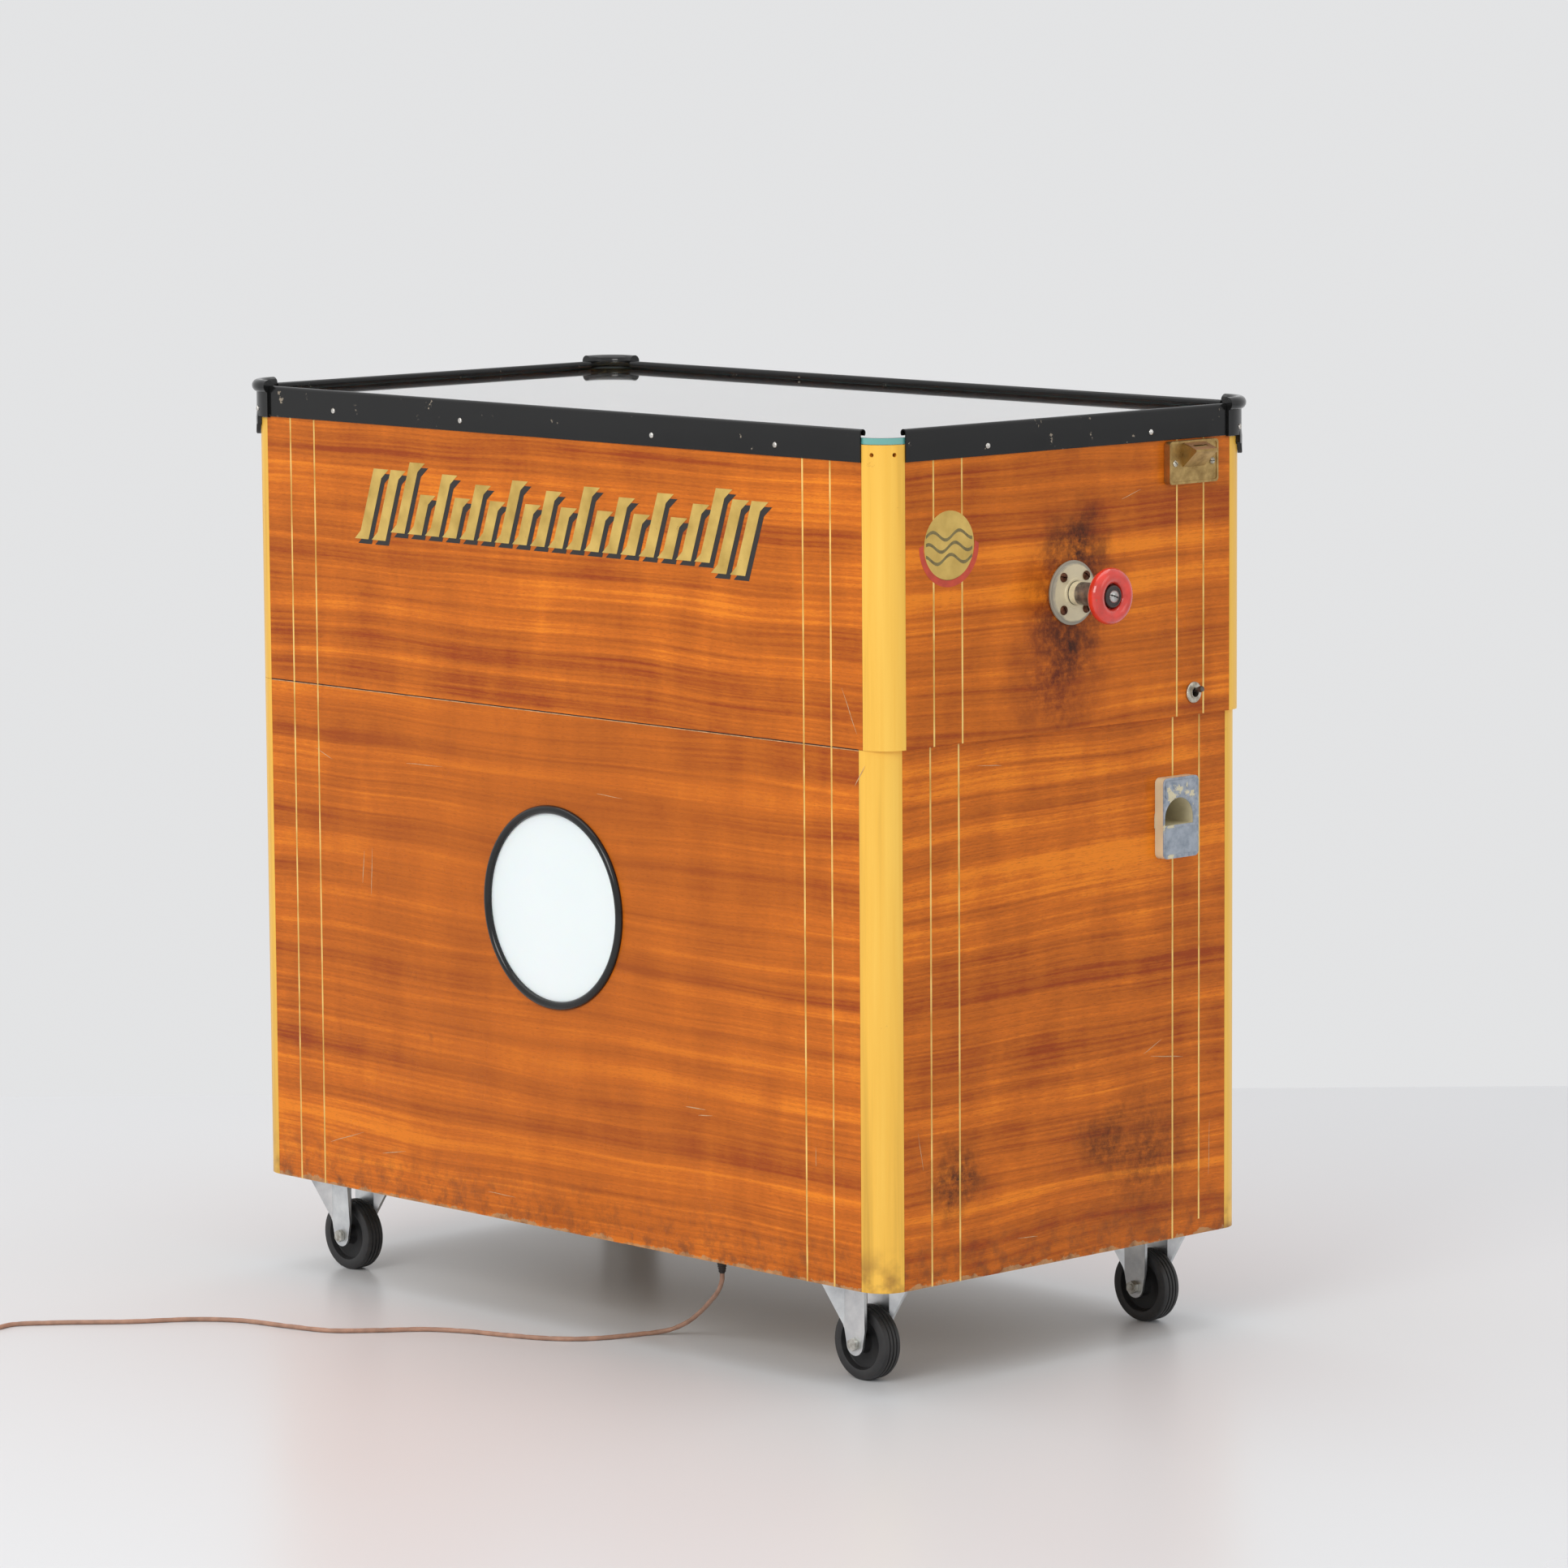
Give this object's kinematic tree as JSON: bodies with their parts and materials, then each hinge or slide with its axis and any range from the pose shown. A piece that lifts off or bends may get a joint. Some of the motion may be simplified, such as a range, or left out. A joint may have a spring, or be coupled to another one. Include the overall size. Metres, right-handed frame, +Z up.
{
  "type": "coin pusher machine",
  "caption": "Two-storey wooden coin-operated table game on casters, with a glass top in black rails, a round opal side window, a push knob, a coin entry and a payout cup",
  "frame": {"origin": "On the floor, at the middle of the machine without its mains lead: x = 0 is the middle of the case width, y = 0 is midway between the front of the knob and the back of the rear corner caps.", "axes": "+Z up; -Y is the front, where the player stands at the knob, the coin entry and the payout cup; +Y is the back with the service door; -X is the long side with the round window."},
  "size_m": [1.0525, 1.1174, 0.998],
  "materials": {
    "sapele_panel": "gloss",
    "beech_post": "gloss",
    "plain_board": "matte",
    "black_enamel": "gloss",
    "zinc_plate": "satin",
    "tread_rubber": "matte",
    "clear_glass": "gloss",
    "opal_sheet": "satin",
    "worn_cream_paint": "satin",
    "brass_plate": "satin",
    "rod_steel": "satin",
    "red_knob": "gloss",
    "brown_boss": "gloss",
    "nickel": "satin",
    "dark_lever": "satin",
    "green_board": "satin",
    "red_board": "satin",
    "cream_board": "satin",
    "grey_sheet": "satin",
    "lamp_white": "satin",
    "dark_plastic": "matte",
    "cord_brown": "matte"
  },
  "bodies": {
    "cabinet": {"lower_front_panel": "sapele_panel", "lower_right_panel": "sapele_panel", "lower_back_panel": "sapele_panel", "lower_left_panel": "sapele_panel", "lower_front_left_post": "beech_post", "lower_front_right_post": "beech_post", "lower_rear_right_post": "beech_post", "lower_rear_left_post": "beech_post", "upper_front_panel": "sapele_panel", "upper_right_panel": "sapele_panel", "upper_back_panel": "sapele_panel", "upper_left_panel": "sapele_panel", "upper_front_left_post": "beech_post", "upper_front_right_post": "beech_post", "upper_rear_right_post": "beech_post", "upper_rear_left_post": "beech_post", "bottom_board": "plain_board", "caster_front_left_bracket": "zinc_plate", "caster_front_left_axle": "zinc_plate", "caster_front_right_bracket": "zinc_plate", "caster_front_right_axle": "zinc_plate", "caster_rear_right_bracket": "zinc_plate", "caster_rear_right_axle": "zinc_plate", "caster_rear_left_bracket": "zinc_plate", "caster_rear_left_axle": "zinc_plate", "glass_top": "clear_glass", "front_rail": "black_enamel", "right_rail": "black_enamel", "back_rail": "black_enamel", "left_rail": "black_enamel", "front_right_cap": "black_enamel", "rear_right_cap": "black_enamel", "rear_left_cap": "black_enamel", "window_ring": "black_enamel", "window_glass": "opal_sheet", "payout_cup": "worn_cream_paint", "coin_entry": "brass_plate", "knob_flange": "worn_cream_paint", "switch_body": "nickel", "playfield_board": "green_board", "front_bulkhead": "cream_board", "payout_chute": "zinc_plate", "cash_box": "grey_sheet", "door_hinge": "brass_plate", "window_lamp": "lamp_white", "cord_gland": "dark_plastic", "power_cord": "cord_brown", "cord_coil": "cord_brown", "mains_plug": "dark_plastic"},
    "wheel_front_left": {"caster_front_left_wheel": "tread_rubber"},
    "wheel_front_right": {"caster_front_right_wheel": "tread_rubber"},
    "wheel_rear_left": {"caster_rear_left_wheel": "tread_rubber"},
    "wheel_rear_right": {"caster_rear_right_wheel": "tread_rubber"},
    "pusher": {"pusher_shelf": "red_board"},
    "control": {"control_rod": "rod_steel", "control_knob": "red_knob", "knob_boss": "brown_boss"},
    "switch": {"switch_lever": "dark_lever"},
    "door": {"service_door": "sapele_panel"},
    "lock": {"door_lock": "brass_plate"}
  },
  "joints": [
    {"name": "roll_front_left", "type": "hinge", "parent": "cabinet", "child": "wheel_front_left", "pos_m": [-0.209, -0.3835, 0.039], "axis": [1, 0, 0], "continuous": true},
    {"name": "roll_front_right", "type": "hinge", "parent": "cabinet", "child": "wheel_front_right", "pos_m": [0.209, -0.3835, 0.039], "axis": [1, 0, 0], "continuous": true},
    {"name": "roll_rear_left", "type": "hinge", "parent": "cabinet", "child": "wheel_rear_left", "pos_m": [-0.209, 0.4445, 0.039], "axis": [1, 0, 0], "continuous": true},
    {"name": "roll_rear_right", "type": "hinge", "parent": "cabinet", "child": "wheel_rear_right", "pos_m": [0.209, 0.4445, 0.039], "axis": [1, 0, 0], "continuous": true},
    {"name": "pusher_slide", "type": "slide", "parent": "cabinet", "child": "pusher", "axis": [0, 1, 0], "range_m": [0, 0.038]},
    {"name": "knob_turn", "type": "hinge", "parent": "pusher", "child": "control", "pos_m": [0, -0.5, 0.809], "axis": [0, 1, 0], "continuous": true},
    {"name": "switch_throw", "type": "hinge", "parent": "cabinet", "child": "switch", "pos_m": [0.1835, -0.4675, 0.69], "axis": [1, 0, 0], "range_deg": [0, 24]},
    {"name": "door_swing", "type": "hinge", "parent": "cabinet", "child": "door", "pos_m": [-0.14075, 0.5338, 0.288], "axis": [0, 0, 1], "range_deg": [0, 100]},
    {"name": "lock_turn", "type": "hinge", "parent": "door", "child": "lock", "pos_m": [0.115, 0.5305, 0.288], "axis": [0, -1, 0], "range_deg": [0, 90]}
  ]
}
